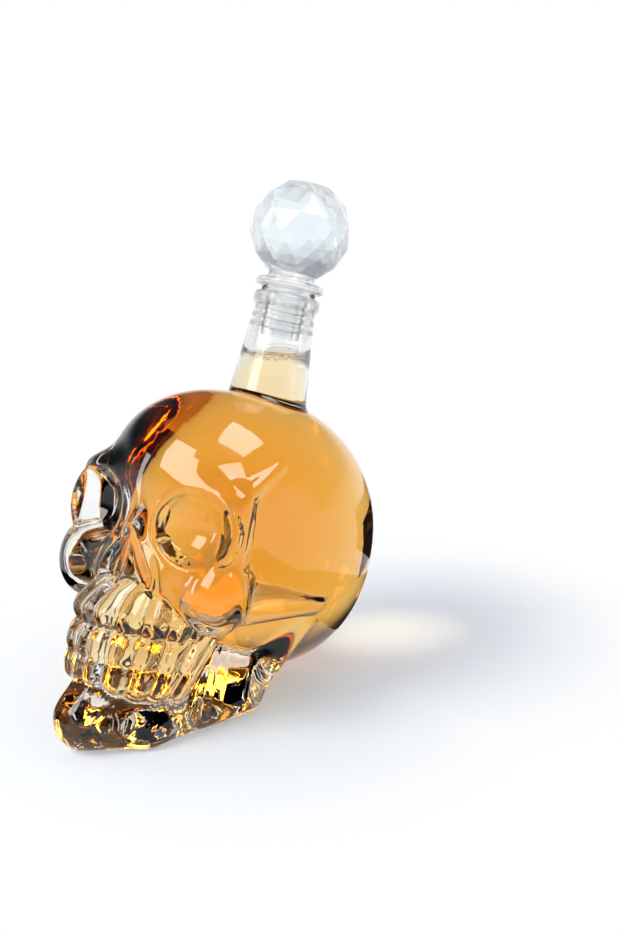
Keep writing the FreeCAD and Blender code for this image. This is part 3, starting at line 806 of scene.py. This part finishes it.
def floor_paint():
    paint = Paint(bpy.data.materials.new("studio_floor"))
    grain = paint.noise(3, 2.0)
    matt = paint.node("ShaderNodeBsdfDiffuse", {
        "Color": paint.mix(grain, (0.84, 0.88, 0.935, 1), (0.86, 0.895, 0.945, 1))})

    def pool(right, back, half_right, half_back, inner, inside, outside):
        """A soft-edged ellipse on the floor: one value inside, one outside."""
        spot = paint.node("ShaderNodeMapping", {
            "Vector": paint.coords(), "Location": place_from_view(right, back, 0),
            "Rotation": (0, 0, view_turn), "Scale": (half_right, half_back, 1)}, {"vector_type": "TEXTURE"})
        away = paint.node("ShaderNodeVectorMath", {0: spot}, {"operation": "LENGTH"}, output="Value")
        return paint.node("ShaderNodeMapRange", {"Value": away, 1: inner, 2: 1.0, 3: inside, 4: outside},
                          {"interpolation_type": "SMOOTHSTEP"})

    under, shade, painted_caustic_share = (pool(*spot) for spot in (under_pool, shade_pool, painted_caustic_pool))
    fade = under.math("MINIMUM", under, shade) | painted_caustic_share
    shown = paint.ray("Camera") | paint.ray("Transmission") | paint.ray("Glossy")
    # White floor for camera and glass rays, with the painted caustic, a pool of cream light, mixed into its
    # colour
    white_with_painted_caustic = paint.node("ShaderNodeEmission", {"Color": paint.mix(painted_caustic_share, white, (1, 0.965, 0.84, 1)),
                                            "Strength": 1.0})
    return paint.surface(paint.node("ShaderNodeMixShader", {0: fade * shown, 1: matt, 2: white_with_painted_caustic}))


def build_floor():
    mesh = bpy.data.meshes.new("floor")
    square = ((-1, -1), (1, -1), (1, 1), (-1, 1))
    corners = [(side * floor_reach, back * floor_reach, 0) for side, back in square]
    mesh.from_pydata(corners, [], [(0, 1, 2, 3)])
    floor = placed("floor", mesh)
    floor.location.z = -floor_drop
    mesh.materials.append(floor_paint())


# Only mirrored and refracted rays see the cards: they draw the edges of the glass, as in a studio
def build_card(name, outline, height):
    corners = [place_from_view(*spot, up) for spot in outline for up in (card_foot, height)]
    folds = [(2 * n, 2 * n + 2, 2 * n + 3, 2 * n + 1) for n in range(len(outline) - 1)]
    mesh = bpy.data.meshes.new(name)
    mesh.from_pydata(corners, [], folds)
    paint = Paint(bpy.data.materials.new(name))
    dark = paint.node("ShaderNodeBsdfDiffuse", {"Color": (0.012, 0.012, 0.02, 1)})
    mesh.materials.append(paint.surface(dark))
    card = placed(name, mesh)
    card.visible_camera = card.visible_diffuse = card.visible_shadow = False


def build_world():
    world = bpy.data.worlds.new("studio")
    bpy.context.scene.world = world
    paint = Paint(world)
    ambient = paint.node("ShaderNodeBackground", {"Color": (0.86, 0.93, 1, 1), "Strength": 0.78})
    backdrop = paint.node("ShaderNodeBackground", {"Color": white, "Strength": 1.0})
    way = paint.node("ShaderNodeTexCoord", output="Generated")
    rise = paint.node("ShaderNodeSeparateXYZ", {"Vector": way}, output="Z")
    overhead = paint.node("ShaderNodeMapRange", {
        "Value": rise, 1: ceiling_start, 2: ceiling_full, 3: 0.0, 4: 1.0},
        {"interpolation_type": "SMOOTHSTEP"})
    room_colour = paint.mix(overhead, white, (0.06, 0.075, 0.11, 1))
    room = paint.node("ShaderNodeBackground", {"Color": room_colour, "Strength": 1.0})
    in_glass = paint.ray("Transmission") | paint.ray("Glossy")
    unseen = paint.node("ShaderNodeMixShader", {0: in_glass, 1: ambient, 2: room})
    mixed = paint.node("ShaderNodeMixShader", {0: paint.ray("Camera"), 1: unseen, 2: backdrop})
    paint.node("ShaderNodeOutputWorld", {"Surface": mixed}, output=None)


def build_lamp(name, place, size, power, colour, lights_matt):
    light = bpy.data.lights.new(name, "AREA")
    light.shape, light.color, light.energy = "RECTANGLE", colour, power
    light.size, light.size_y = size
    lamp = placed(name, light)
    lamp.location = place_from_view(*place)
    lamp.visible_diffuse = lights_matt
    lamp.rotation_euler = (Vector(lamp_target) - lamp.location).to_track_quat("-Z", "Y").to_euler()


def build_camera():
    camera = bpy.data.cameras.new("camera")
    camera.sensor_width, camera.sensor_height, camera.sensor_fit = sensor, sensor, "AUTO"
    camera.lens = focal_pixels * sensor / picture_pixels
    camera.clip_start, camera.clip_end = 0.01, 100
    holder = placed("camera", camera)
    holder.location = camera_place
    holder.rotation_euler = (math.radians(90 - camera_dip), 0, math.radians(camera_turn))
    bpy.context.scene.camera = holder


# Assembly
def dress(piece, finish, body, node):
    if not piece.data.materials:
        piece.data.materials.append(finish)
    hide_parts(node)
    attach(piece, body)


stem_finish = clear_glass("stem_glass", low=(0.95, 0.96, 0.965, 1), high=(0.99, 0.99, 1, 1), ior=1.49,
                          clearness=0.35)
ball_finish = clear_glass("crystal_glass", low=(0.7, 0.87, 0.95, 1), high=(0.88, 0.965, 1, 1), ior=1.48,
                          clearness=0.47)
liquor_finish, sleeve_finish = amber_liquor(), sleeve_plastic()
liquor = add_bubbles(build_liquor(), liquor_finish)
sleeve = add_ribs(build_first_rib(), build_sleeve_tube(), sleeve_finish)
dress(build_bottle(), bottle_glass(), "bottle", "skull_bottle")
dress(liquor, liquor_finish, "bottle", "liquor")
dress(sleeve, sleeve_finish, "sleeve", "sealing_sleeve")
dress(build_stem(), stem_finish, "stopper", "stopper_stem")
dress(build_ball(), ball_finish, "stopper", "crystal_ball")

build_floor()
build_world()
for name, card in cards.items():
    build_card(name, *card)
for name, lamp in lamps.items():
    build_lamp(name, *lamp)
build_camera()
bpy.context.scene.view_settings.view_transform = "Standard"

# Many clear faces lie one behind the other in the bottle, the sleeve and the ball
bpy.context.scene.cycles.transparent_max_bounces = 32
